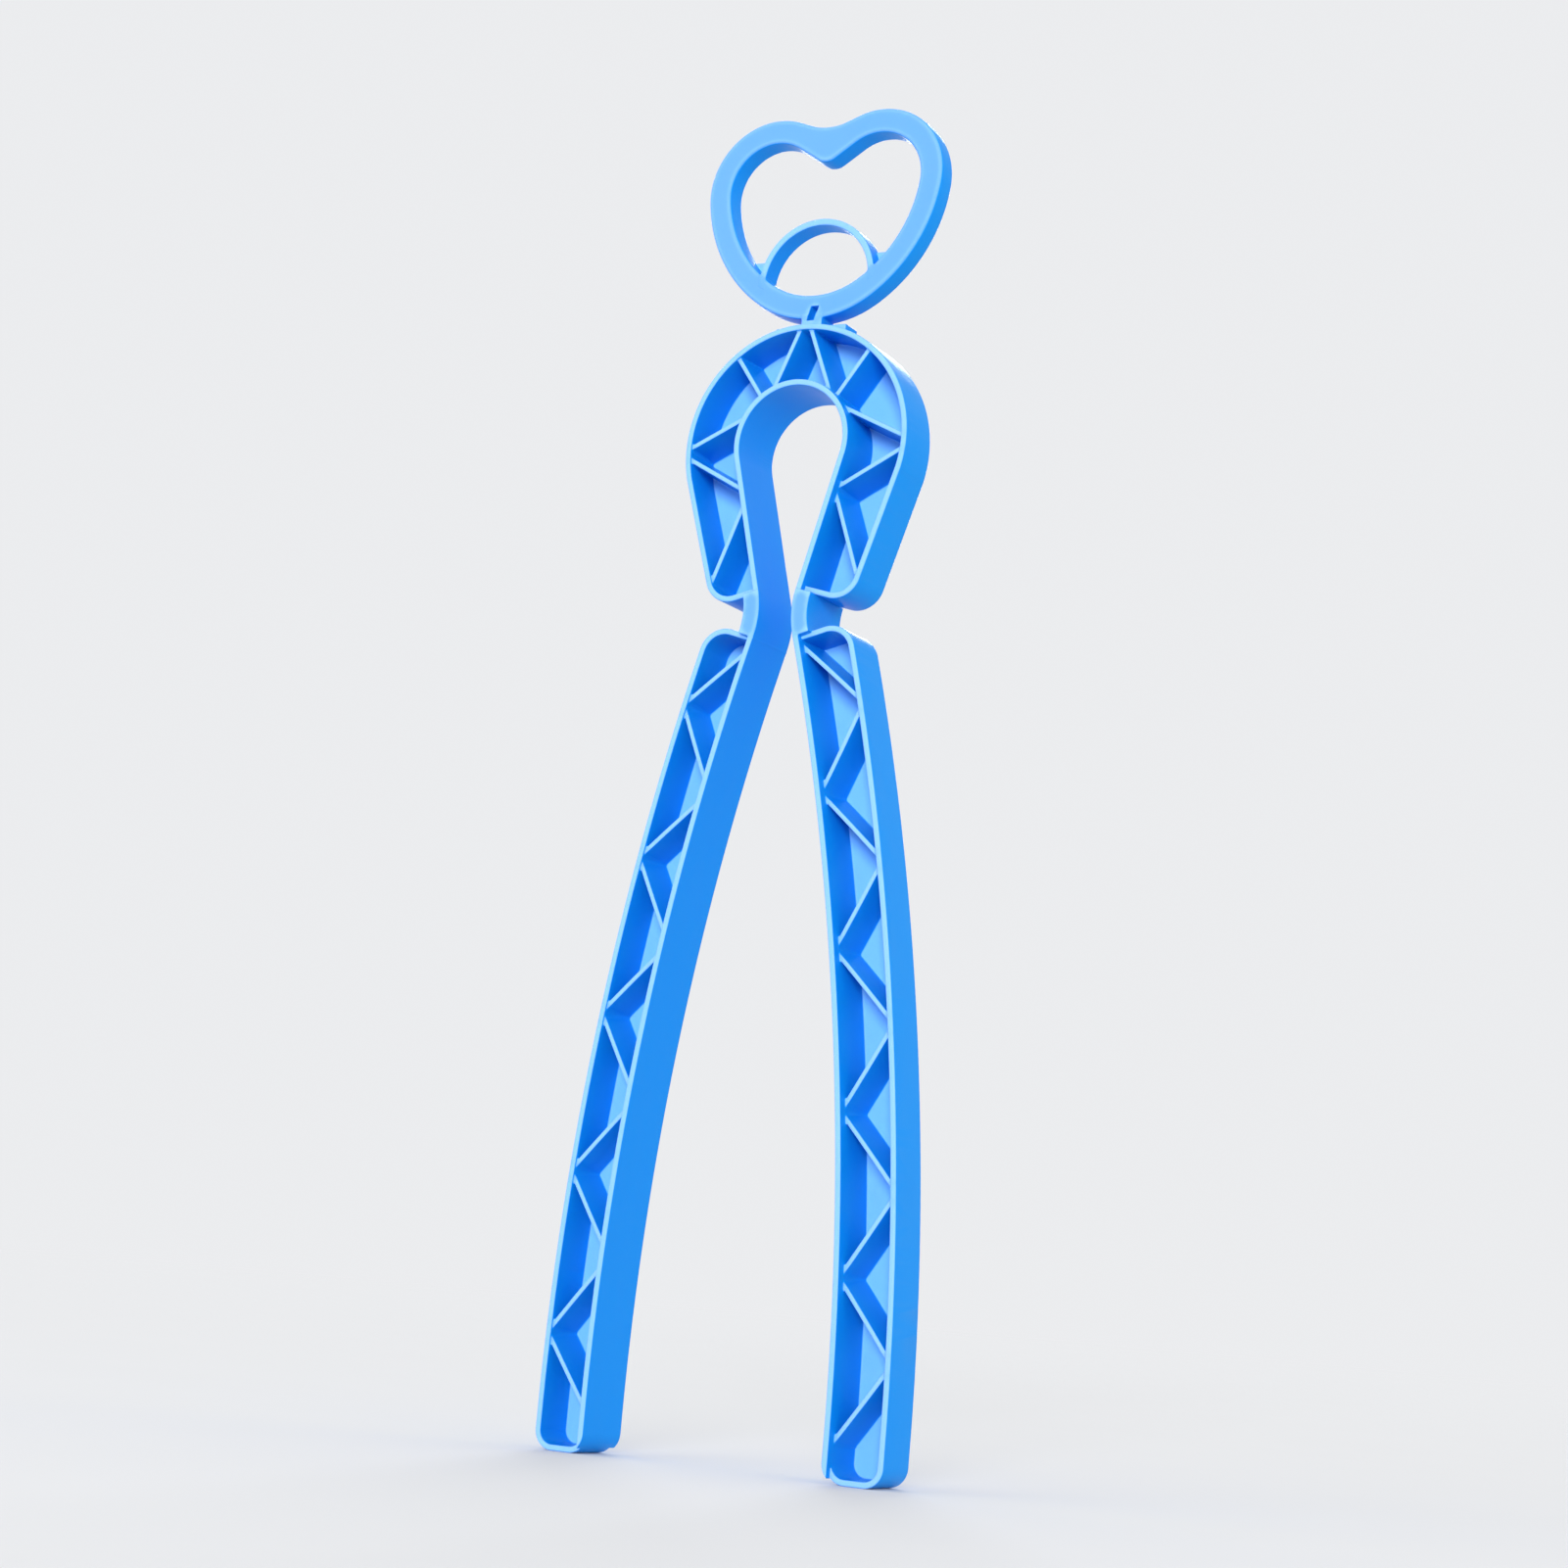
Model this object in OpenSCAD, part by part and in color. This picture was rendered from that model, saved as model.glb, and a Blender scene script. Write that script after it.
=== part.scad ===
// Boot shaper: a heart handle on an omega-shaped crown, with two long
// channel-section legs that hang from flexing necks at the waist.
// Millimetres. X across the spread of the legs, Y through the depth
// (front at -Y, the open side of the channels), +Z up.
// Origin: on the floor, midway between the two toes.

/* [Crown] */
// Height of the crown's centre above the floor
crown_z = 252; // [246:1:260]
// Radius of the crown to the outside of its outer wall
crown_r = 31.3; // [31:0.1:32]
// Radius of the crown to the inside of its inner wall
crown_in = 14.6; // [14:0.1:15]
// Angle at which the inner wall of each limb leans in towards the axis
lean_in = 14.5; // [13.5:0.5:15.5]
// Angle at which the outer wall of each limb leans in towards the axis
lean_out = 17.5; // [16.5:0.5:18.5]
// Length of the straight limb below the round part of the crown
limb_len = 35.5; // [34.5:0.1:36.5]

/* [Walls] */
// Depth of the outer wall, from its front rim to the back face
outer_d = 14; // [13:0.2:15]
// Depth of the inner wall, which stands proud at front and back
inner_d = 18.2; // [17:0.2:19]
// Thickness of the outer and inner walls
wall_t = 1.5; // [1.3:0.1:1.8]
// Thickness of the floor that closes the channel at the back
floor_t = 1.9; // [1.6:0.1:2.4]
// Thickness of a rib at its front edge
rib_tip = 1.1; // [0.9:0.1:1.4]
// Thickness of a rib where it meets the floor
rib_root = 2.2; // [1.6:0.1:2.6]
// How far the front edge of a rib lies behind the front rim of the outer wall
rib_back = 0.8; // [0.4:0.1:1.6]

/* [Necks] */
// Thickness of a flexing neck
neck_t = 4.5; // [3.6:0.1:5]
// Radius of the inner side of a flexing neck
neck_r = 22; // [21:0.5:23]

/* [Legs] */
// Width of a leg across its channel
leg_w = 15; // [14:0.2:15.2]
// Angle at which each leg leaves its neck, away from the axis
leg_flare = 16; // [14.5:0.5:17]
// Length of the straight end of a leg above the floor
toe_len = 9; // [8:0.5:11]
// Radius of the rounded corners of a toe
toe_r = 5; // [4:0.5:5.5]
// Ribs in a leg
leg_ribs = 10; // [8:1:12]

/* [Heart] */
// Width of the heart's ring
ring_w = 6.35; // [5.8:0.05:6.8]
// Thickness of the heart's ring
ring_t = 6.4; // [5.6:0.1:7]
// How far the middle of the heart lies in front of the middle of the crown
ring_fwd = 0.4; // [0:0.1:1]
// Thickness of the small arch inside the heart
arch_t = 1.7; // [1.4:0.1:2]
// Radius of the small arch to its outside
arch_r = 16.4; // [16:0.1:16.6]

/* [Hidden] */
$fn = 180;
blue = [0.36, 0.66, 0.94];

seat_h = 0.35;             // height of the handle's seat above the top of the crown
end_r = 7;                 // rounding of the free corner where a channel ends at the waist
taper = lean_out - lean_in;

// centre of a neck's curve, right side, seen from the crown's centre
wx = (crown_in + neck_r) * cos(lean_in) - limb_len * sin(lean_in);
wz = -(crown_in + neck_r) * sin(lean_in) - limb_len * cos(lean_in);
// radius and centre of a leg's inner wall: the leg runs out of its neck and
// is upright where the straight toe starts
leg_r = (wz + crown_z - toe_len) / sin(leg_flare) - neck_r;
lx = wx - (neck_r + leg_r) * cos(leg_flare);
lz = wz - (neck_r + leg_r) * sin(leg_flare);

// heart, seen from the crown's centre
lobe_x = 14.8;
lobe_z = 69.6;
lobe_r = 18.7;
bowl_z = 62;
bowl_r = 28.3;
flank_r = 40;
// the flank's centre lies where its arc touches both the lobe and the bowl from inside
cc = norm([lobe_x, lobe_z - bowl_z]);
ca = (pow(flank_r - bowl_r, 2) - pow(flank_r - lobe_r, 2) + cc * cc) / (2 * cc);
ch = sqrt(pow(flank_r - bowl_r, 2) - ca * ca);
flank_x = (ca * lobe_x - ch * (lobe_z - bowl_z)) / cc;
flank_z = bowl_z + (ca * (lobe_z - bowl_z) + ch * lobe_x) / cc;
arch_z = 43.9;

function polar(r, a) = [r * cos(a), r * sin(a)];

// an XZ outline seen from the crown's centre, made solid over the depth d about the middle
module slab(d) span(-d / 2, d / 2) children();

// the same, from y0 to y1
module span(y0, y1)
    translate([0, y1, crown_z]) rotate([90, 0, 0]) linear_extrude(y1 - y0) children();

// part of a ring between two angles less than 180 degrees apart
module arc(r0, r1, a0, a1) {
    far = 2 * r1;
    intersection() {
        difference() {
            circle(r1, $fn = 360);
            circle(r0, $fn = 360);
        }
        polygon([[0, 0], polar(far, a0), polar(far, (a0 + a1) / 2), polar(far, a1)]);
    }
}

// a rib from p to q: thinner at its front edge than at the floor
module rib(p, q) {
    y0 = -outer_d / 2 + rib_back;
    y1 = outer_d / 2 - floor_t + 0.2;
    translate([p[0], 0, crown_z + p[1]]) rotate([0, -atan2(q[1] - p[1], q[0] - p[0]), 0])
        rotate([90, 0, 90]) linear_extrude(norm(q - p))
            polygon([[y0, -rib_tip / 2], [y0, rib_tip / 2], [y1, rib_root / 2], [y1, -rib_root / 2]]);
}

// ---- crown ----

// outline of the crown's right half: the inner edge moved in by j, the others by k
module half_crown(k, j) {
    arc(crown_in + j, crown_r - k, -lean_in, 91);
    rotate(-lean_in) {
        r = end_r - k;
        c = [(crown_r - end_r - (limb_len - end_r) * sin(taper)) / cos(taper), end_r - limb_len];
        polygon([[crown_in + j, 0.01], [crown_r - k, 0.01], c + polar(r, -taper), c, c - [0, r], [crown_in + j, k - limb_len]]);
        translate(c) circle(r);
    }
}

module crown2d(k, j) {
    half_crown(k, j);
    mirror([1, 0]) half_crown(k, j);
}

// the inner wall of the right half alone
module half_inner_wall() {
    arc(crown_in, crown_in + wall_t, -lean_in, 91);
    rotate(-lean_in) translate([crown_in, -limb_len]) square([wall_t, limb_len + 0.01]);
}

wi = crown_in + wall_t / 2;      // middle of the inner wall
wo = crown_r - wall_t / 2;       // middle of the outer wall
// a point on a limb's wall of radius r and lean a, at a distance s below the round part
function on_limb(r, a, s) = [r * cos(a) - s * sin(a), -r * sin(a) - s * cos(a)];
// ribs of the right half: a zigzag between the walls, with one radial rib in each shoulder
crown_rib_ends = [
    [polar(wo, 87.5), polar(wi, 56)],
    [polar(wo, 51.8), polar(wi, 49)],
    [polar(wi, 36.5), polar(wo, 0.8)],
    [polar(wo, -4.2), on_limb(wi, lean_in, 8.2)],
    [on_limb(wi, lean_in, 9.4), on_limb(wo, lean_out, 27.7)]
];

module crown_arch() color(blue) {
    difference() {
        union() {
            difference() {
                slab(outer_d) crown2d(0, wall_t / 2);
                span(-outer_d, outer_d / 2 - floor_t) crown2d(wall_t, -1);
            }
            slab(inner_d) {
                half_inner_wall();
                mirror([1, 0]) half_inner_wall();
            }
            intersection() {
                slab(outer_d) crown2d(0.3, 0.3);
                union() for (m = [0, 1]) mirror([m, 0, 0])
                    for (e = crown_rib_ends) rib(e[0], e[1]);
            }
            // low flat seat on top, on which the handle's foot stands
            translate([0, -ring_fwd, 0]) slab(ring_t) difference() {
                translate([-10, crown_r - 3]) square([20, 3 + seat_h]);
                circle(crown_r - 0.5);
            }
        }
        // slot for the stub of the handle
        translate([-1.5, -1.7 - ring_fwd, crown_z + crown_r - 1]) cube([3, 3.4, 2]);
    }
}

// ---- necks ----

module neck2d() translate([wx, wz]) arc(neck_r - neck_t, neck_r, 180 - lean_in, 180 + leg_flare);

module right_flex_neck() color(blue) slab(inner_d) neck2d();
module left_flex_neck() color(blue) mirror([1, 0, 0]) slab(inner_d) neck2d();

// ---- legs ----

// outline of the right leg, all its edges moved in by k
module leg2d(k = 0) {
    r0 = leg_r + k;
    r1 = leg_r + leg_w - k;
    rc = end_r - k;
    ac = leg_flare - asin(end_r / (leg_r + leg_w - end_r));  // angle of the rounded corner's centre
    at = leg_flare - asin(k / leg_r);
    tr = toe_r - k * 0.6;
    translate([lx, lz]) {
        difference() {
            arc(r0, r1, 0, at);
            // square corner of the head, outside its rounding
            difference() {
                polygon([polar(r1 - rc, ac), polar(r1 - rc, at + 0.5), polar(r1 + 3, at + 0.5), polar(r1 + 3, ac)]);
                translate(polar(r1 - rc, ac)) circle(rc);
            }
        }
        // toe
        polygon([[r0, 0.01], [r1, 0.01], [r1, -toe_len + k + tr], [r1 - tr, -toe_len + k], [r0 + tr, -toe_len + k], [r0, -toe_len + k + tr]]);
        translate([r1 - tr, -toe_len + k + tr]) circle(tr);
        translate([r0 + tr, -toe_len + k + tr]) circle(tr);
    }
}

// ribs of the right leg: an even zigzag, each rib starting just below the last one's end
leg_a0 = leg_flare - (wall_t + 1) / leg_r * 180 / PI;
leg_step = (leg_a0 + 0.1) / leg_ribs;
leg_gap = 0.12;
function leg_at(inner, a) = [lx, lz] + polar(inner ? leg_r + wall_t / 2 : leg_r + leg_w - wall_t / 2, a);

module leg() {
    difference() {
        slab(outer_d) leg2d();
        span(-outer_d, outer_d / 2 - floor_t) leg2d(wall_t);
    }
    slab(inner_d) intersection() {
        leg2d();
        translate([lx, lz]) {
            arc(leg_r, leg_r + wall_t, -1, leg_flare);
            translate([leg_r, -toe_len]) square([wall_t, toe_len]);
        }
    }
    intersection() {
        slab(outer_d) leg2d(0.3);
        union() for (i = [0 : leg_ribs - 1]) {
            a = leg_a0 - i * leg_step;
            rib(leg_at(i % 2 == 0, a), leg_at(i % 2 == 1, a - leg_step + leg_gap));
        }
    }
}

module right_leg() color(blue) leg();
module left_leg() color(blue) mirror([1, 0, 0]) leg();

// ---- heart handle ----

// outline of the heart, its edges moved in by k, with notch slopes of s degrees rounded to radius f
module heart2d(k, s, f) {
    r = lobe_r - k;
    tx = lobe_x - r * sin(s);
    tz = lobe_z + r * cos(s);
    z0 = tz - tx * tan(s);
    // heights where the flank's arc meets the lobe and the bowl
    m = flank_z + (lobe_z - flank_z) * (flank_r - k) / (flank_r - lobe_r);
    n = flank_z + (bowl_z - flank_z) * (flank_r - k) / (flank_r - bowl_r);
    for (x = [-lobe_x, lobe_x]) translate([x, lobe_z]) circle(r);
    intersection() {
        translate([0, bowl_z]) circle(bowl_r - k);
        translate([-50, bowl_z - 50]) square([100, 50]);
    }
    intersection() {
        translate([flank_x, flank_z]) circle(flank_r - k);
        translate([-flank_x, flank_z]) circle(flank_r - k);
        translate([-50, n]) square([100, m - n - 0.3]);
    }
    polygon([[-tx, tz], [0, z0], [tx, tz], [tx, bowl_z], [-tx, bowl_z]]);
    // rounding of the notch
    difference() {
        polygon([[-f * sin(s), z0 + f * sin(s) * tan(s)], [0, z0 - 0.1], [f * sin(s), z0 + f * sin(s) * tan(s)]]);
        translate([0, z0 + f / cos(s)]) circle(f);
    }
}

module opening2d(k = 0) heart2d(ring_w - k, 33, 2.5);

// height up to which thin webs fill the corners between the small arch and the ring
web_z = 51.5;

module heart_handle() color(blue) translate([0, -ring_fwd, 0]) {
    difference() {
        union() {
            // ring
            slab(ring_t) difference() {
                heart2d(0, 20, 3);
                opening2d();
            }
            // small arch across the bowl of the heart
            slab(ring_t) intersection() {
                translate([0, arch_z]) difference() {
                    circle(arch_r);
                    circle(arch_r - arch_t);
                }
                opening2d(1.5);
                translate([-20, arch_z - 1]) square([40, 20]);
            }
            // thin webs in the corners beside the arch, level with the back
            span(ring_t / 2 - 2, ring_t / 2) for (m = [0, 1]) mirror([m, 0]) difference() {
                intersection() {
                    opening2d(0.8);
                    translate([12, arch_z]) square([12, web_z - arch_z]);
                }
                translate([0, arch_z]) circle(arch_r - arch_t / 2);
            }
            // foot between ring and crown
            slab(ring_t) translate([-2.9, crown_r + seat_h]) square([5.8, 3 - seat_h]);
            // stub that is pressed into the crown
            translate([-1.5, -1.7, crown_z + crown_r - 0.9]) cube([3, 3.4, 2]);
        }
        // small slanted notch in the foot of the ring
        span(-ring_t / 2 - 1, -ring_t / 2 + 3.2)
            polygon([[-1.46, crown_r + 2], [-0.44, crown_r + 5.7], [1.76, crown_r + 5.7], [0.74, crown_r + 2]]);
    }
}

heart_handle();
crown_arch();
left_flex_neck();
right_flex_neck();
left_leg();
right_leg();
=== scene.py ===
import math

import bmesh
import bpy
import numpy as np
from mathutils import Matrix, Vector


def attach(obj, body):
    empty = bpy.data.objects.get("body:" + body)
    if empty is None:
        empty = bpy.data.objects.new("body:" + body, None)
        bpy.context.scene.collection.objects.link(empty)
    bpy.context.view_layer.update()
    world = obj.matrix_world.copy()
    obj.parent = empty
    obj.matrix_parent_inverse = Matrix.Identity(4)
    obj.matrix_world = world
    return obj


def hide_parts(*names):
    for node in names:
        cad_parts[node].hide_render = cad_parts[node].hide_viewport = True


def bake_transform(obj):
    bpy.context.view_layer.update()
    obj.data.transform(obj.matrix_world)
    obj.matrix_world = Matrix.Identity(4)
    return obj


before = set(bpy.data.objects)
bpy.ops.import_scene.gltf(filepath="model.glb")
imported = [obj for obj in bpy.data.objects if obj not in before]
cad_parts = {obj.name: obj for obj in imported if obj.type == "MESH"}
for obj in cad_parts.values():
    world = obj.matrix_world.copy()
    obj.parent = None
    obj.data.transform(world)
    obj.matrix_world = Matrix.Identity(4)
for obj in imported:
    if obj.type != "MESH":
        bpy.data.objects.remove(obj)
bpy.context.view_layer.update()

# ---------------------------------------------------------------------------
# Every visible piece is a distance field in millimetres, turned into a mesh
# whose points are pulled exactly onto the surface. The sizes are those of the
# CAD; the field adds what a moulding has: rounded rims, fillets at the ribs'
# roots and softened corners.
# Coordinates: x across, y depth (front is -y), z up from the crown's centre.
# ---------------------------------------------------------------------------

VOXEL = 0.26

CROWN_Z = 252.0
CROWN_R, CROWN_IN = 31.3, 14.6
LEAN, TAPER, LIMB = math.radians(14.5), math.radians(3.0), 35.5
OUT_D, IN_D = 14.0, 18.2
WALL, FLOOR = 1.5, 1.9
RIB_TIP, RIB_ROOT, RIB_BACK = 1.1, 2.2, 0.8
NECK_T, NECK_R = 4.5, 22.0
LEG_W, FLARE, TOE, TOE_R, LEG_RIBS = 15.0, math.radians(16.0), 9.0, 5.0, 10
END_R = 7.0
RING_W, RING_T, RING_FWD = 6.35, 6.4, 0.4
ARCH_T, ARCH_R, ARCH_Z, WEB_Z = 1.7, 16.4, 43.9, 51.5
SEAT_H = 0.35

WX = (CROWN_IN + NECK_R) * math.cos(LEAN) - LIMB * math.sin(LEAN)
WZ = -(CROWN_IN + NECK_R) * math.sin(LEAN) - LIMB * math.cos(LEAN)
LEG_R = (WZ + CROWN_Z - TOE) / math.sin(FLARE) - NECK_R
LX = WX - (NECK_R + LEG_R) * math.cos(FLARE)
LZ = WZ - (NECK_R + LEG_R) * math.sin(FLARE)

POCKET_Y = OUT_D / 2 - FLOOR          # front of the channel's floor
RIM_E, BACK_E, FIL = 0.38, 0.55, 0.5  # rounding of rims, of back edges, and fillets


# ---- distance helpers ----

def polar(r, a):
    return (r * math.cos(a), r * math.sin(a))


def hyp(a, b):
    return np.sqrt(a * a + b * b)


def segment(x, z, p, q):
    """distance to a straight stretch from p to q"""
    dx, dz = q[0] - p[0], q[1] - p[1]
    t = np.clip(((x - p[0]) * dx + (z - p[1]) * dz) / (dx * dx + dz * dz), 0, 1)
    return hyp(x - p[0] - t * dx, z - p[1] - t * dz)


def arc(x, z, c, r, a0, a1):
    """distance to the stretch of a circle from angle a0 to a1"""
    px, pz = x - c[0], z - c[1]
    mid = (a0 + a1) / 2
    off = np.arctan2(pz, px) - mid
    off = (off + math.pi) % (2 * math.pi) - math.pi
    on = np.abs(off) <= (a1 - a0) / 2
    e0, e1 = polar(r, a0), polar(r, a1)
    ends = np.minimum(hyp(px - e0[0], pz - e0[1]), hyp(px - e1[0], pz - e1[1]))
    return np.where(on, np.abs(hyp(px, pz) - r), ends)


def slab(d, y, y0, y1, r):
    """an outline d made solid from y0 to y1, with its edges rounded to r"""
    w = np.abs(y - (y0 + y1) / 2) - (y1 - y0) / 2 + r
    d = d + r
    return np.minimum(np.maximum(d, w), 0) + hyp(np.maximum(d, 0), np.maximum(w, 0)) - r


def join(a, b, r):
    """both solids, with a fillet of radius r where they meet"""
    u, v = np.maximum(r - a, 0), np.maximum(r - b, 0)
    return np.maximum(r, np.minimum(a, b)) - hyp(u, v)


def cut(a, b, r):
    """solid a without b, with the edge between them rounded to r"""
    u, v = np.maximum(r + a, 0), np.maximum(r - b, 0)
    return np.minimum(-r, np.maximum(a, -b)) + hyp(u, v)


def bar(x, y, z, p, q, clip):
    """a rib from p to q, thinner at its front edge than at the floor, with a rounded front edge"""
    length = math.hypot(q[0] - p[0], q[1] - p[1])
    ux, uz = (q[0] - p[0]) / length, (q[1] - p[1]) / length
    along = (x - p[0]) * ux + (z - p[1]) * uz
    side = np.abs(-(x - p[0]) * uz + (z - p[1]) * ux)
    y0, y1 = -OUT_D / 2 + RIB_BACK, POCKET_Y
    half = (RIB_TIP + (RIB_ROOT - RIB_TIP) * np.clip((y - y0) / (y1 - y0), 0, 1)) / 2
    d = np.maximum(side - half, np.abs(along - length / 2) - length / 2)
    return np.maximum(slab(d, y, y0, y1 + 0.6, 0.24), clip)


# ---- the crown ----

def crown_paths(ax, z):
    """for the right half: distance to the middle of the outer wall with the limb's end, of the inner wall, and whether a point is inside"""
    h = WALL / 2
    u = ax * math.cos(LEAN) - z * math.sin(LEAN)
    v = ax * math.sin(LEAN) + z * math.cos(LEAN)
    c = ((CROWN_R - END_R - (LIMB - END_R) * math.sin(TAPER)) / math.cos(TAPER), END_R - LIMB)
    rc = END_R - h
    foot = polar(rc, -TAPER)
    foot = (c[0] + foot[0], c[1] + foot[1])
    wo, wi = CROWN_R - h, CROWN_IN + h
    outer = arc(u, v, (0, 0), wo, 0, math.radians(108))
    outer = np.minimum(outer, segment(u, v, (wo, 0), foot))
    outer = np.minimum(outer, arc(u, v, c, rc, -math.pi / 2, -TAPER))
    outer = np.minimum(outer, segment(u, v, (wi, h - LIMB), (c[0], h - LIMB)))
    inner = np.minimum(arc(u, v, (0, 0), wi, 0, math.radians(108)), segment(u, v, (wi, 0), (wi, -LIMB)))
    r = hyp(u, v)
    dx, dv = foot[0] - wo, foot[1]
    limb = (v < 0) & (v > h - LIMB) & (u > wi) & ((u - wo) * dv - v * dx > 0)
    corner = (u > c[0]) & (v < c[1]) & (hyp(u - c[0], v - c[1]) > rc)
    inside = ((v >= 0) & (r < wo) & (r > wi)) | (limb & ~corner)
    return outer, inner, inside, u, v


WI, WO = CROWN_IN + WALL / 2, CROWN_R - WALL / 2


def on_limb(r, a, s):
    return (r * math.cos(a) - s * math.sin(a), -r * math.sin(a) - s * math.cos(a))


def deg(r, a):
    return polar(r, math.radians(a))


CROWN_RIBS = [
    (deg(WO, 87.5), deg(WI, 56)),
    (deg(WO, 51.8), deg(WI, 49)),
    (deg(WI, 36.5), deg(WO, 0.8)),
    (deg(WO, -4.2), on_limb(WI, LEAN, 8.2)),
    (on_limb(WI, LEAN, 9.4), on_limb(WO, LEAN + TAPER, 27.7)),
]


def crown(x, y, z):
    h = WALL / 2
    ax = np.abs(x)
    outer, inner, inside, u, v = crown_paths(ax, z)
    near = np.minimum(outer, inner)
    mid = np.where(inside, -near, near)
    body = slab(mid - h, y, -OUT_D / 2, OUT_D / 2, BACK_E)
    pocket = slab(mid + h, y, -OUT_D, POCKET_Y, 0.45)
    tray = cut(body, pocket, RIM_E)
    for p, q in CROWN_RIBS:
        tray = join(tray, bar(ax, y, z, p, q, mid), FIL)
    # low flat seat on top, under the handle's foot
    seat = np.maximum(np.maximum(ax - 10, z - CROWN_R - SEAT_H), np.maximum(CROWN_R - 0.5 - hyp(ax, z), CROWN_R - 3 - z))
    tray = join(tray, slab(seat, y + RING_FWD, -RING_T / 2, RING_T / 2, 0.25), 0.25)
    strip = np.maximum(inner - h, -(v + LIMB))
    return np.minimum(tray, slab(strip, y, -IN_D / 2, IN_D / 2, RIM_E))


# ---- a leg with its neck ----

LEG_M = LEG_R + LEG_W / 2
HEAD_S = FLARE * LEG_M


def leg(x, y, z):
    h = WALL / 2
    qx, qz = x - LX, z - LZ
    rho, a = hyp(qx, qz), np.arctan2(qz, qx)
    up = qz > 0
    u = np.where(up, rho - LEG_R, qx - LEG_R)
    s = np.where(up, a * LEG_M, qz)
    # the middle line of the walls is a rectangle with four different corners
    cu, cs = LEG_W / 2, (HEAD_S - TOE) / 2
    bu, bs = LEG_W / 2 - h, (HEAD_S + TOE) / 2 - h
    pu, ps = u - cu, s - cs
    r = np.where(ps > 0, np.where(pu > 0, END_R - h, 0.25), TOE_R - h)
    eu, es = np.abs(pu) - bu + r, np.abs(ps) - bs + r
    mid = np.minimum(np.maximum(eu, es), 0) + hyp(np.maximum(eu, 0), np.maximum(es, 0)) - r
    body = slab(mid - h, y, -OUT_D / 2, OUT_D / 2, BACK_E)
    pocket = slab(mid + h, y, -OUT_D, POCKET_Y, 0.45)
    tray = cut(body, pocket, RIM_E)
    a0 = FLARE - (WALL + 1) / LEG_R
    step = (a0 + math.radians(0.1)) / LEG_RIBS
    gap = math.radians(0.12)
    for i in range(LEG_RIBS):
        t0, t1 = a0 - i * step, a0 - (i + 1) * step + gap
        us = (h, LEG_W - h) if i % 2 == 0 else (LEG_W - h, h)
        tray = join(tray, bar(u, y, s, (us[0], t0 * LEG_M), (us[1], t1 * LEG_M), mid), FIL)
    strip = np.maximum(np.abs(u - h) - h, mid - h)
    d = np.minimum(tray, slab(strip, y, -IN_D / 2, IN_D / 2, RIM_E))
    # the neck, whose two ends run a little way into the limb and the leg
    px, pz = x - WX, z - WZ
    an = np.arctan2(pz, px) % (2 * math.pi)
    lo, hi = math.pi - LEAN - 0.2 / 19.75, math.pi + FLARE + 0.6 / 19.75
    rn = hyp(px, pz)
    band = np.abs(rn - (NECK_R - NECK_T / 2)) - NECK_T / 2
    ends = np.maximum(lo - an, an - hi) * rn
    neck = slab(np.maximum(band, ends), y, -IN_D / 2, IN_D / 2, RIM_E)
    return join(d, neck, 0.35)


# ---- the heart ----

LOBE, LOBE_R = (14.8, 69.6), 18.7
BOWL, BOWL_R = (0.0, 62.0), 28.3
FLANK_R = 40.0
_cc = math.hypot(LOBE[0], LOBE[1] - BOWL[1])
_ca = ((FLANK_R - BOWL_R) ** 2 - (FLANK_R - LOBE_R) ** 2 + _cc * _cc) / (2 * _cc)
_ch = math.sqrt((FLANK_R - BOWL_R) ** 2 - _ca * _ca)
FLANK = ((_ca * LOBE[0] - _ch * (LOBE[1] - BOWL[1])) / _cc, BOWL[1] + (_ca * (LOBE[1] - BOWL[1]) + _ch * LOBE[0]) / _cc)


def heart2d(x, z, k, slope, f):
    """distance to the heart's outline moved in by k, with notch slopes rounded to f"""
    s = math.radians(slope)
    ax = np.abs(x)

    def side(px):
        # right half: bowl, flank and lobe, each where its own arc is the nearest
        to_flank_l = math.atan2(LOBE[1] - FLANK[1], LOBE[0] - FLANK[0])
        to_flank_b = math.atan2(BOWL[1] - FLANK[1], BOWL[0] - FLANK[0])
        af = np.arctan2(z - FLANK[1], px - FLANK[0])
        flank = hyp(px - FLANK[0], z - FLANK[1]) - (FLANK_R - k)
        lobe = hyp(px - LOBE[0], z - LOBE[1]) - (LOBE_R - k)
        bowl = hyp(px - BOWL[0], z - BOWL[1]) - (BOWL_R - k)
        return np.where(af > to_flank_l, lobe, np.where(af < to_flank_b, bowl, flank))

    d = side(ax)
    t = (LOBE[0] - (LOBE_R - k) * math.sin(s), LOBE[1] + (LOBE_R - k) * math.cos(s))

    def line(px):
        return -(px - t[0]) * math.sin(s) + (z - t[1]) * math.cos(s)

    right, left = line(x), line(-x)
    # the notch is what the two slopes leave, rounded where they meet
    u, v = np.maximum(f - right, 0), np.maximum(f - left, 0)
    notch = np.maximum(f, np.minimum(right, left)) - hyp(u, v)
    # on the notch's side of the normal through the lobe's tangent point
    beside = (ax - LOBE[0]) * math.cos(s) + (z - LOBE[1]) * math.sin(s) < 0
    top = beside & (z > LOBE[1] - 6)
    return np.where(top, notch, d)


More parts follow.
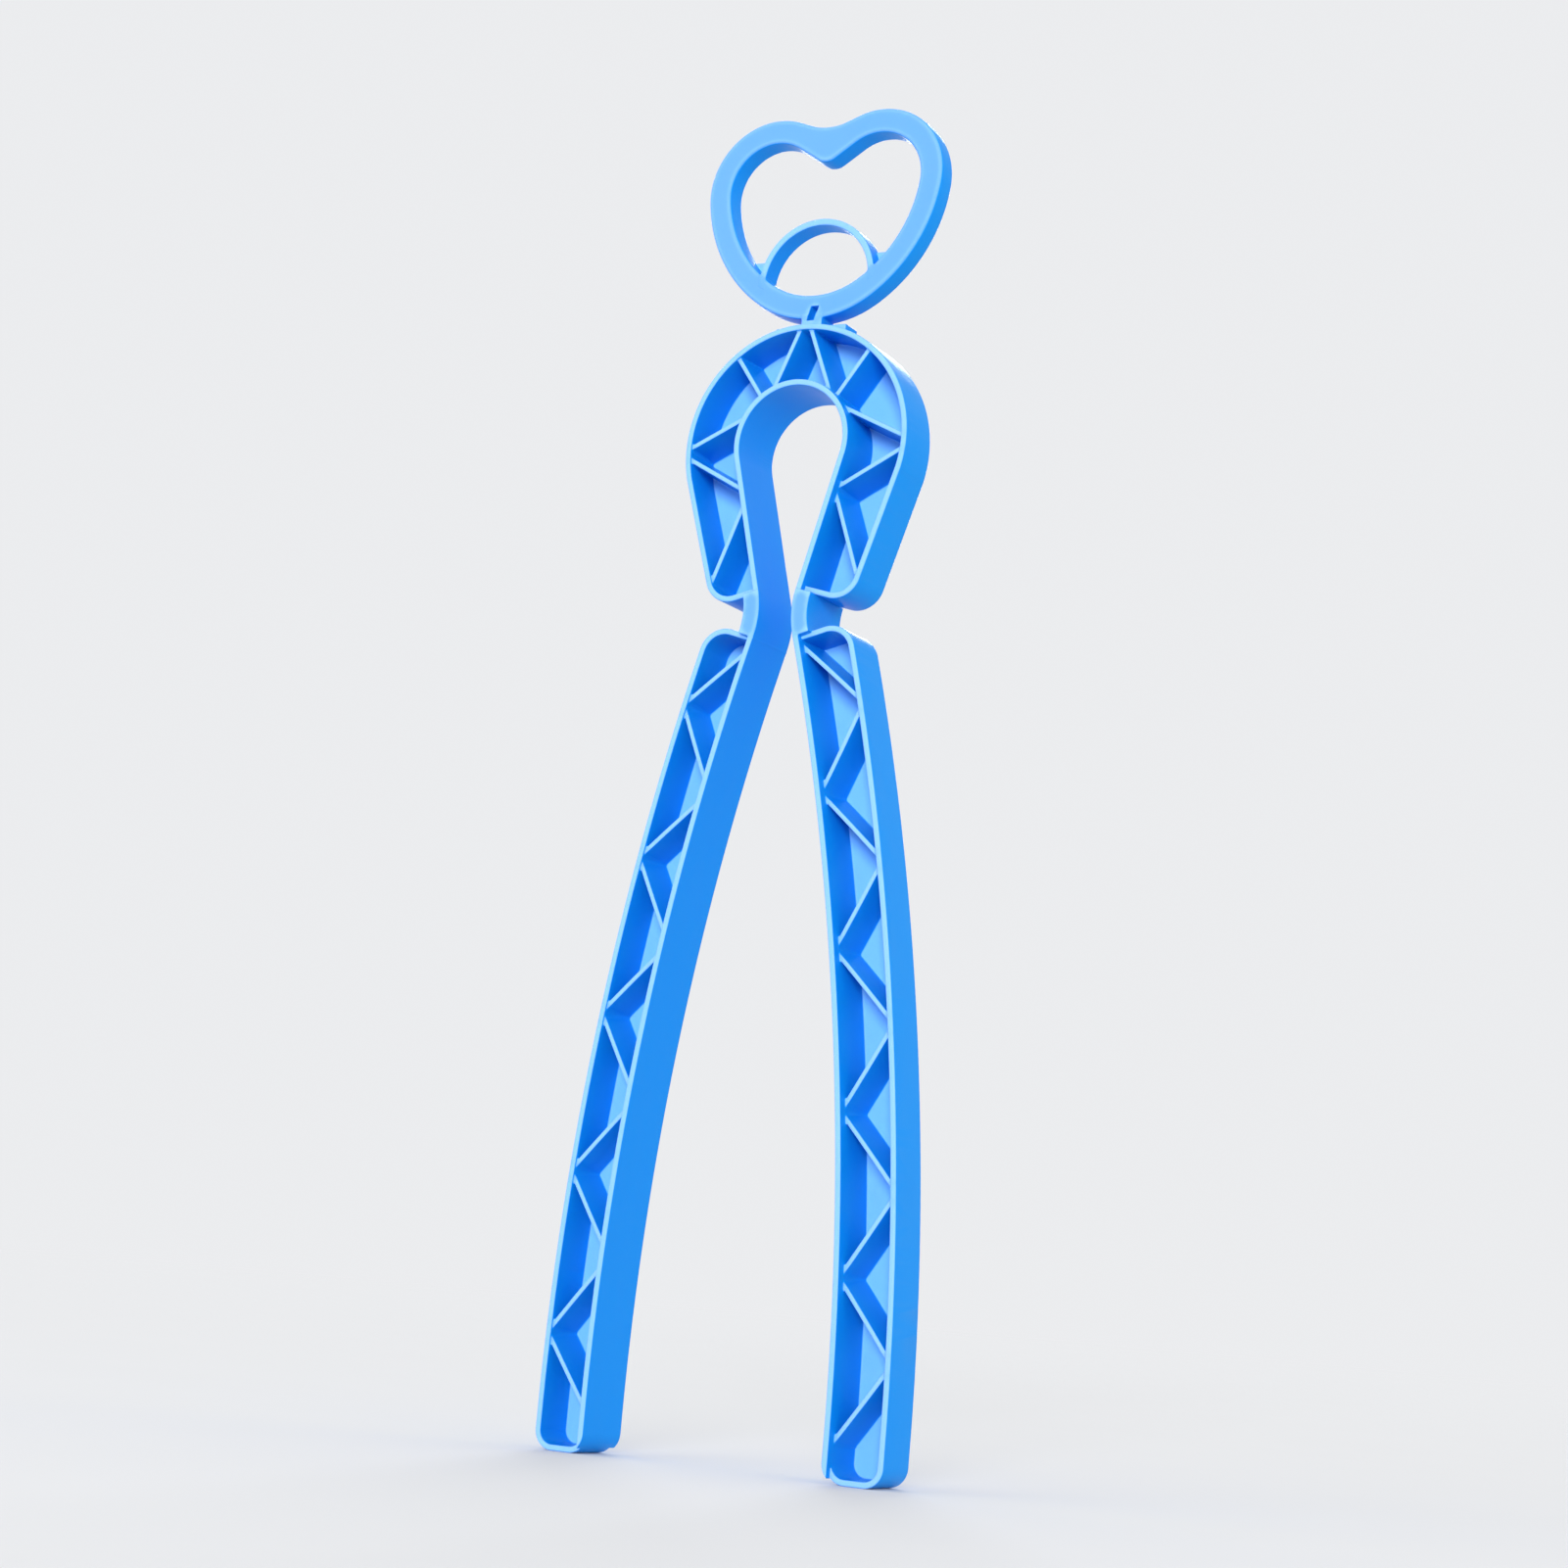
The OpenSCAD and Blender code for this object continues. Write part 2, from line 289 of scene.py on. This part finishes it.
def heart(x, y, z):
    y = y + RING_FWD
    outer = heart2d(x, z, 0, 20, 3)
    opening = heart2d(x, z, RING_W, 33, 2.5)
    # the sides lean a little to both faces from the parting line in the middle
    lean = 0.045 * np.abs(y) - 0.035
    ring2 = np.maximum(outer, -opening) + lean
    ring = slab(ring2, y, -RING_T / 2, RING_T / 2, 0.7)
    # small arch across the bowl
    pr = hyp(x, z - ARCH_Z)
    keep = np.maximum(opening - 2.5, ARCH_Z - 1 - z)
    arch2 = np.maximum(np.abs(pr - (ARCH_R - ARCH_T / 2)) - ARCH_T / 2, keep)
    d = join(ring, slab(arch2, y, -RING_T / 2 + 0.12, RING_T / 2 - 0.12, 0.4), 0.45)
    # thin webs in the corners beside the arch
    web = np.maximum(np.maximum(opening - 0.8, ARCH_R - ARCH_T / 2 - pr), np.maximum(z - WEB_Z, ARCH_Z - z))
    d = join(d, slab(web, y, RING_T / 2 - 2, RING_T / 2 - 0.1, 0.2), 0.3)
    # foot
    foot2 = np.maximum(np.abs(x) - 2.9, np.abs(z - (CROWN_R + 1.5)) - 2.1)
    d = join(d, slab(foot2, y, -RING_T / 2, RING_T / 2, 0.35), 0.5)
    # small slanted notch in the front of the foot
    c, s = math.cos(0.27), math.sin(0.27)
    nx = (x - 0.15) * c - (z - CROWN_R - 3.85) * s
    nick = slab(np.maximum(np.abs(nx) - 1.06, np.abs(z - CROWN_R - 3.85) - 1.85), y, -RING_T / 2 - 2, -RING_T / 2 + 3.2, 0.3)
    return cut(d, nick, 0.25)


# ---- from field to mesh ----

def nets(field, low, high, h):
    """surface nets: one point in each cell that the surface passes, one quad across each edge"""
    low = np.array(low, float) - 2 * h
    n = np.ceil((np.array(high, float) + 2 * h - low) / h).astype(int) + 1
    ax = [low[i] + h * np.arange(n[i]) for i in range(3)]
    x, z = ax[0][:, None, None], ax[2][None, None, :]
    f = np.empty(tuple(n), np.float32)
    for j in range(0, n[1], 8):
        y = ax[1][None, j:j + 8, None]
        f[:, j:j + 8, :] = np.broadcast_to(field(x, y, z), (n[0], len(ax[1][j:j + 8]), n[2]))
    inside = f < 0
    m = n - 1
    corner = np.zeros(tuple(m), np.uint8)
    for i in (0, 1):
        for j in (0, 1):
            for k in (0, 1):
                corner += inside[i:i + m[0], j:j + m[1], k:k + m[2]]
    cells = np.argwhere((corner > 0) & (corner < 8))
    index = np.full(tuple(m), -1, np.int64)
    index[tuple(cells.T)] = np.arange(len(cells))
    total, count = np.zeros((len(cells), 3)), np.zeros(len(cells))
    offsets = [(i, j, k) for i in (0, 1) for j in (0, 1) for k in (0, 1)]
    for a in offsets:
        for axis in range(3):
            if a[axis]:
                continue
            b = list(a)
            b[axis] = 1
            fa = f[cells[:, 0] + a[0], cells[:, 1] + a[1], cells[:, 2] + a[2]]
            fb = f[cells[:, 0] + b[0], cells[:, 1] + b[1], cells[:, 2] + b[2]]
            on = (fa < 0) != (fb < 0)
            t = np.where(on, fa / np.where(on, fa - fb, 1), 0)
            p = np.tile(np.array(a, float), (len(cells), 1))
            p[:, axis] += t
            total[on] += p[on]
            count += on
    points = low + h * (cells + total / count[:, None])
    quads = []
    for axis in range(3):
        o1, o2 = [i for i in range(3) if i != axis]
        sl0, sl1 = [slice(None)] * 3, [slice(None)] * 3
        sl0[axis], sl1[axis] = slice(0, -1), slice(1, None)
        a, b = inside[tuple(sl0)], inside[tuple(sl1)]
        e = np.argwhere(a != b)
        e = e[(e[:, o1] > 0) & (e[:, o2] > 0) & (e[:, o1] < m[o1]) & (e[:, o2] < m[o2]) & (e[:, axis] < m[axis])]
        out = a[tuple(e.T)]
        corners = []
        for d1, d2 in ((0, 0), (1, 0), (1, 1), (0, 1)):
            c = e.copy()
            c[:, o1] -= 1 - d1
            c[:, o2] -= 1 - d2
            corners.append(index[tuple(c.T)])
        q = np.stack(corners, 1)
        flip = out if axis != 1 else ~out
        q[~flip] = q[~flip][:, ::-1]
        quads.append(q)
    return points, np.concatenate(quads)


def gradient(field, p):
    e = 0.02
    g = np.empty_like(p)
    for i in range(3):
        d = np.zeros(3)
        d[i] = e
        a, b = p + d, p - d
        g[:, i] = (field(a[:, 0], a[:, 1], a[:, 2]) - field(b[:, 0], b[:, 1], b[:, 2])) / (2 * e)
    return g


def settle(field, p, limit, rounds=3):
    """pull the points onto the surface, moving each by no more than limit"""
    start = p.copy()
    for _ in range(rounds):
        g = gradient(field, p)
        step = field(p[:, 0], p[:, 1], p[:, 2])[:, None] * g / np.maximum((g * g).sum(1), 0.25)[:, None]
        p = p - np.clip(step, -limit, limit)
    off = p - start
    far = np.sqrt((off * off).sum(1))
    return start + off * np.minimum(1, limit / np.maximum(far, 1e-9))[:, None]


def normals(field, p, mesh_normals):
    g = gradient(field, p)
    size = np.sqrt((g * g).sum(1))
    ok = (size > 0.5) & ((g * mesh_normals).sum(1) > 0.5 * size)
    n = np.where(ok[:, None], g / np.maximum(size, 1e-9)[:, None], mesh_normals)
    return n


def put(name, co, faces, n):
    mesh = bpy.data.meshes.new(name)
    mesh.from_pydata(((co + (0, 0, CROWN_Z)) / 1000).tolist(), [], faces)
    mesh.update()
    mesh.polygons.foreach_set("use_smooth", [True] * len(mesh.polygons))
    mesh.normals_split_custom_set_from_vertices(n.tolist())
    obj = bpy.data.objects.new(name, mesh)
    bpy.context.scene.collection.objects.link(obj)
    return obj


def piece(name, field, low, high, h, twin=None, angle=0.8):
    """the mesh of a field, and with twin the name of its mirror image, that as well"""
    pts, quads = nets(field, low, high, h)
    pts = settle(field, pts, 0.6 * h)
    mesh = bpy.data.meshes.new(name + "_raw")
    mesh.from_pydata(pts.tolist(), [], quads.tolist())
    bm = bmesh.new()
    bm.from_mesh(mesh)
    bmesh.ops.dissolve_limit(bm, angle_limit=math.radians(angle), use_dissolve_boundaries=False, verts=bm.verts[:], edges=bm.edges[:])
    bmesh.ops.delete(bm, geom=[v for v in bm.verts if not v.link_faces], context="VERTS")
    bmesh.ops.triangulate(bm, faces=[f for f in bm.faces if len(f.verts) > 4], quad_method="BEAUTY", ngon_method="BEAUTY")
    bm.to_mesh(mesh)
    bm.free()
    co = np.empty(len(mesh.vertices) * 3)
    mesh.vertices.foreach_get("co", co)
    co = co.reshape(-1, 3)
    vn = np.array([v.normal for v in mesh.vertices]).reshape(-1, 3)
    n = normals(field, co, vn)
    faces = [tuple(p.vertices) for p in mesh.polygons]
    bpy.data.meshes.remove(mesh)
    print(name, "points", len(co), "faces", len(faces))
    made = [put(name, co, faces, n)]
    if twin:
        made.append(put(twin, co * (-1, 1, 1), [f[::-1] for f in faces], n * (-1, 1, 1)))
    return made


(crown_piece,) = piece("crown_moulding", crown, (-31.5, -9.2, -43.5), (31.5, 9.2, 31.5), VOXEL)
(heart_piece,) = piece("heart_moulding", heart, (-33.7, -3.8, 28.5), (33.7, 3.0, 88.6), VOXEL * 0.9)
right_piece, left_piece = piece("right_leg_moulding", leg, (3.9, -9.2, -252.1), (47.8, 9.2, -37.5), VOXEL, twin="left_leg_moulding")

ROOT = "handle_and_crown"
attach(crown_piece, ROOT)
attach(heart_piece, ROOT)
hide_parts("crown_arch")
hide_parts("heart_handle")
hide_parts("right_leg", "right_flex_neck")
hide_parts("left_leg", "left_flex_neck")
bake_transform(right_piece)
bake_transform(left_piece)


# ---------------------------------------------------------------------------
# Material: satin sky-blue polypropylene, with painted light and shade in its colour
# ---------------------------------------------------------------------------

def node(tree, kind, **values):
    n = tree.nodes.new(kind)
    for k, v in values.items():
        if k in n.bl_rna.properties:
            setattr(n, k, v)
        else:
            n.inputs[k.replace("_", " ")].default_value = v
    return n


def math_node(tree, op, a, b=None, clamp=False):
    n = tree.nodes.new("ShaderNodeMath")
    n.operation = op
    n.use_clamp = clamp
    for i, v in enumerate((a, b)):
        if v is None:
            continue
        if isinstance(v, (int, float)):
            n.inputs[i].default_value = v
        else:
            tree.links.new(v, n.inputs[i])
    return n.outputs[0]


def ramp(tree, value, a, b, to=(0.0, 1.0)):
    n = tree.nodes.new("ShaderNodeMapRange")
    n.interpolation_type = "SMOOTHSTEP"
    n.inputs["From Min"].default_value, n.inputs["From Max"].default_value = a, b
    n.inputs["To Min"].default_value, n.inputs["To Max"].default_value = to
    tree.links.new(value, n.inputs["Value"])
    return n.outputs["Result"]


def noise(tree, coords, scale, detail=2.0, rough=0.5, stretch=None):
    if stretch:
        m = tree.nodes.new("ShaderNodeMapping")
        m.inputs["Scale"].default_value = stretch
        tree.links.new(coords, m.inputs["Vector"])
        coords = m.outputs["Vector"]
    n = tree.nodes.new("ShaderNodeTexNoise")
    n.inputs["Scale"].default_value = scale
    n.inputs["Detail"].default_value = detail
    n.inputs["Roughness"].default_value = rough
    tree.links.new(coords, n.inputs["Vector"])
    return n.outputs["Fac"]


def mix(tree, factor, a, b):
    n = tree.nodes.new("ShaderNodeMix")
    n.data_type = "RGBA"
    for sock, v in ((n.inputs["Factor"], factor), (n.inputs["A"], a), (n.inputs["B"], b)):
        pass
    fac = n.inputs[0]
    ca, cb = n.inputs[6], n.inputs[7]
    for sock, v in ((fac, factor), (ca, a), (cb, b)):
        if isinstance(v, (int, float)):
            sock.default_value = v
        elif isinstance(v, tuple):
            sock.default_value = (*v, 1.0)
        else:
            tree.links.new(v, sock)
    return n.outputs[2]


FACE_PAINTED_LIT = (0.112, 0.305, 0.880)     # broad faces to front and back, painted lighter as if lit from the front
SIDE_PAINTED_SHADE = (0.003, 0.256, 0.760)     # walls seen edge-on into the channel, painted deeper as if in shade
THIN_PAINTED_LIGHT = (0.225, 0.455, 0.940)     # thin rims and ribs' edges, painted paler: painted light for light coming through the thin plastic and painted highlights on the rounded edges
PANEL_PAINTED_LIGHT = (0.185, 0.530, 0.960)    # the thin floor panels between the ribs, painted lighter where they lie deep in the channel: painted light against the shade there


def polypropylene(name, seed):
    m = bpy.data.materials.new(name)
    m.use_nodes = True
    t = m.node_tree
    t.nodes.clear()
    out = t.nodes.new("ShaderNodeOutputMaterial")
    bsdf = t.nodes.new("ShaderNodeBsdfPrincipled")
    t.links.new(bsdf.outputs[0], out.inputs[0])
    bsdf.inputs["IOR"].default_value = 1.49
    bsdf.inputs["Specular IOR Level"].default_value = 0.08
    bsdf.inputs["Specular Tint"].default_value = (0.60, 0.82, 1.0, 1.0)
    bsdf.inputs["Subsurface Weight"].default_value = 0.12
    bsdf.inputs["Subsurface Radius"].default_value = (0.25, 0.6, 1.0)
    bsdf.inputs["Subsurface Scale"].default_value = 0.0012
    co = t.nodes.new("ShaderNodeTexCoord")
    shift = t.nodes.new("ShaderNodeMapping")
    shift.inputs["Location"].default_value = (seed * 0.37, seed * 0.11, seed * 0.23)
    t.links.new(co.outputs["Object"], shift.inputs["Vector"])
    xyz = shift.outputs["Vector"]
    # how much a face looks to the front or back: such faces get a painted lit colour, walls a painted shade colour
    split = t.nodes.new("ShaderNodeSeparateXYZ")
    t.links.new(co.outputs["Normal"], split.inputs[0])
    level = math_node(t, "ABSOLUTE", split.outputs["Y"])
    painted_light_by_facing = ramp(t, level, 0.40, 0.90)
    # thin walls and rims, little material behind the surface: there the colour is painted paler, as painted light and
    # painted edge highlights
    inner = t.nodes.new("ShaderNodeAmbientOcclusion")
    inner.inside = True
    inner.samples = 8
    inner.inputs["Distance"].default_value = 0.0020
    painted_rim_light = math_node(t, "MULTIPLY", ramp(t, inner.outputs["AO"], 0.48, 0.93, (1.0, 0.0)), ramp(t, level, 0.30, 0.65))
    # the panels deep in the channel: a paler colour where little light reaches, painted light in the hollows
    around = t.nodes.new("ShaderNodeAmbientOcclusion")
    around.samples = 8
    around.inputs["Distance"].default_value = 0.012
    painted_hollow_light = ramp(t, around.outputs["AO"], 0.35, 0.85, (1.0, 0.0))
    # slow flow marks along the part, and a fine mottle in the colour
    flow = noise(t, xyz, 26.0, 2.0, 0.5, (1.0, 1.0, 0.35))
    mottle = noise(t, xyz, 420.0, 3.0, 0.55)
    # painted light and shade by facing: a lit colour on front and back faces, a shade colour on walls
    base = mix(t, painted_light_by_facing, SIDE_PAINTED_SHADE, mix(t, painted_hollow_light, FACE_PAINTED_LIT, PANEL_PAINTED_LIGHT))
    # pale rims and edges: painted light
    base = mix(t, math_node(t, "MULTIPLY", painted_rim_light, 0.9), base, THIN_PAINTED_LIGHT)
    tone = math_node(t, "ADD", math_node(t, "MULTIPLY", flow, 0.14), math_node(t, "MULTIPLY", mottle, 0.06))
    tone = math_node(t, "SUBTRACT", tone, 0.10)
    deeper = mix(t, ramp(t, tone, 0.0, 0.10, (0.0, 0.22)), base, SIDE_PAINTED_SHADE)
    t.links.new(deeper, bsdf.inputs["Base Color"])
    # satin surface: roughness varies a little with the flow marks and handling
    rub = noise(t, xyz, 90.0, 4.0, 0.6)
    rough = math_node(t, "ADD", math_node(t, "MULTIPLY", rub, 0.16), math_node(t, "MULTIPLY", flow, 0.06))
    rough = math_node(t, "ADD", rough, 0.22)
    t.links.new(rough, bsdf.inputs["Roughness"])
    # fine spark-eroded texture of the mould, and long shallow waves
    grain = noise(t, xyz, 2600.0, 2.0, 0.6)
    wave = noise(t, xyz, 130.0, 1.0, 0.4)
    bump1 = t.nodes.new("ShaderNodeBump")
    bump1.inputs["Strength"].default_value = 0.22
    bump1.inputs["Distance"].default_value = 0.00006
    t.links.new(grain, bump1.inputs["Height"])
    bump2 = t.nodes.new("ShaderNodeBump")
    bump2.inputs["Strength"].default_value = 0.35
    bump2.inputs["Distance"].default_value = 0.00025
    t.links.new(wave, bump2.inputs["Height"])
    t.links.new(bump1.outputs[0], bump2.inputs["Normal"])
    t.links.new(bump2.outputs[0], bsdf.inputs["Normal"])
    return m


for i, o in enumerate((crown_piece, heart_piece, right_piece, left_piece)):
    o.data.materials.clear()
    o.data.materials.append(polypropylene("polypropylene_" + o.name, i + 1))
# the CAD nodes that these pieces stand for carry the same material
for i, n in enumerate(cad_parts.values()):
    mat = polypropylene("polypropylene_" + n.name, i + 7)
    for s in range(max(1, len(n.material_slots))):
        if n.material_slots:
            n.material_slots[s].material = mat
        else:
            n.data.materials.append(mat)


# ---------------------------------------------------------------------------
# Floor, lights, camera
# ---------------------------------------------------------------------------

def disc(name, radius):
    """a round floor in rings that widen outwards"""
    around = 96
    verts, faces = [(0.0, 0.0, 0.0)], []
    rings = [0.25 * 1.35 ** k for k in range(12)]
    rings = [r * radius / rings[-1] for r in rings]
    for r in rings:
        for k in range(around):
            a = 2 * math.pi * k / around
            verts.append((r * math.cos(a), r * math.sin(a), 0.0))
    for k in range(around):
        faces.append((0, 1 + k, 1 + (k + 1) % around))
    for i in range(len(rings) - 1):
        for k in range(around):
            l = (k + 1) % around
            faces.append((1 + i * around + k, 1 + (i + 1) * around + k, 1 + (i + 1) * around + l, 1 + i * around + l))
    mesh = bpy.data.meshes.new(name)
    mesh.from_pydata(verts, [], faces)
    mesh.update()
    o = bpy.data.objects.new(name, mesh)
    bpy.context.scene.collection.objects.link(o)
    return o


FLOOR_NEAR = ((0.706, 0.709, 0.713), (0.719, 0.722, 0.726))
floor = disc("studio_floor", 7.0)
fm = bpy.data.materials.new("pale_floor")
fm.use_nodes = True
ft = fm.node_tree
fb = ft.nodes["Principled BSDF"]
fb.inputs["Roughness"].default_value = 1.0
fb.inputs["Specular IOR Level"].default_value = 0.0
fc = ft.nodes.new("ShaderNodeTexCoord")
fn = noise(ft, fc.outputs["Object"], 9.0, 4.0, 0.6)
# the floor fades into the plain background far behind the object, and is a little
# darker near the object, where the lamps reach it
reach = ft.nodes.new("ShaderNodeVectorMath")
reach.operation = "LENGTH"
ft.links.new(fc.outputs["Object"], reach.inputs[0])
near = mix(ft, fn, FLOOR_NEAR[0], FLOOR_NEAR[1])
square = math_node(ft, "MULTIPLY", reach.outputs["Value"], reach.outputs["Value"])
lit = math_node(ft, "DIVIDE", 1.0, math_node(ft, "ADD", math_node(ft, "MULTIPLY", square, 0.68), 1.0))
ft.links.new(mix(ft, lit, (0.747, 0.749, 0.753), near), fb.inputs["Base Color"])
fade = ramp(ft, reach.outputs["Value"], 0.7, 5.5)
clear = ft.nodes.new("ShaderNodeBsdfTransparent")
both = ft.nodes.new("ShaderNodeMixShader")
ft.links.new(fade, both.inputs[0])
ft.links.new(fb.outputs[0], both.inputs[1])
ft.links.new(clear.outputs[0], both.inputs[2])
ft.links.new(both.outputs[0], ft.nodes["Material Output"].inputs[0])
floor.data.materials.append(fm)


def area(name, place, aim, size, watts, color=(1, 1, 1), high=None):
    d = bpy.data.lights.new(name, "AREA")
    d.shape = "RECTANGLE"
    d.size, d.size_y = size, high or size
    d.energy = watts
    d.color = color
    o = bpy.data.objects.new(name, d)
    bpy.context.scene.collection.objects.link(o)
    o.location = place
    o.rotation_euler = (Vector(aim) - Vector(place)).to_track_quat("-Z", "Y").to_euler()
    return o


area("left_light", (-0.60, -1.20, 0.95), (0, 0, 0.17), 0.9, 2.5)


def far_lamp(name, az, el, strength, spread):
    """a large soft lamp far away, so that the floor is lit evenly"""
    d = bpy.data.lights.new(name, "SUN")
    d.energy = strength
    d.angle = math.radians(spread)
    o = bpy.data.objects.new(name, d)
    bpy.context.scene.collection.objects.link(o)
    a, e = math.radians(az), math.radians(el)
    way = Vector((math.sin(a) * math.cos(e), -math.cos(a) * math.cos(e), math.sin(e)))
    o.location = 2.0 * way + Vector((0, 0, 0.17))
    o.rotation_euler = (-way).to_track_quat("-Z", "Y").to_euler()
    return o


far_lamp("front_light", 22.0, 7.0, 2.88, 19.0)
far_lamp("back_light", 205.0, 20.0, 1.57, 25.0)

world = bpy.data.worlds.new("studio")
bpy.context.scene.world = world
world.use_nodes = True
wt = world.node_tree
bg = wt.nodes.get("Background") or wt.nodes.new("ShaderNodeBackground")
bg.inputs["Color"].default_value = (0.97, 0.98, 1.0, 1.0)
bg.inputs["Strength"].default_value = 0.86
wo_ = wt.nodes.get("World Output") or wt.nodes.new("ShaderNodeOutputWorld")
wt.links.new(bg.outputs[0], wo_.inputs[0])

# camera: where the photographer stood, as found from the crown and the heart
AZ, EL, ROLL, FAR = math.radians(29.0), math.radians(-15.6), math.radians(5.1), 0.774
toward = Vector((math.sin(AZ) * math.cos(EL), -math.cos(AZ) * math.cos(EL), math.sin(EL)))
right = Vector((math.cos(AZ), math.sin(AZ), 0))
up = right.cross(-toward)
right, up = math.cos(ROLL) * right + math.sin(ROLL) * up, -math.sin(ROLL) * right + math.cos(ROLL) * up
spot = Vector((0, 0, CROWN_Z / 1000)) + FAR * toward
aim = Vector((0.002, 0, 0.1665))
turn = (-toward).rotation_difference((aim - spot).normalized()).to_matrix()
r3, u3, b3 = turn @ right, turn @ up, -(aim - spot).normalized()
cam_data = bpy.data.cameras.new("camera")
cam = bpy.data.objects.new("camera", cam_data)
bpy.context.scene.collection.objects.link(cam)
rot = Matrix(((r3.x, u3.x, b3.x), (r3.y, u3.y, b3.y), (r3.z, u3.z, b3.z)))
cam.matrix_world = Matrix.Translation(spot) @ rot.to_4x4()
cam_data.sensor_width = 36.0
cam_data.sensor_fit = "HORIZONTAL"
cam_data.lens = 70.0
cam_data.clip_start, cam_data.clip_end = 0.01, 30.0
cam_data.dof.use_dof = False
bpy.context.scene.camera = cam

bpy.context.scene.view_settings.view_transform = "Standard"
bpy.context.scene.view_settings.look = "None"
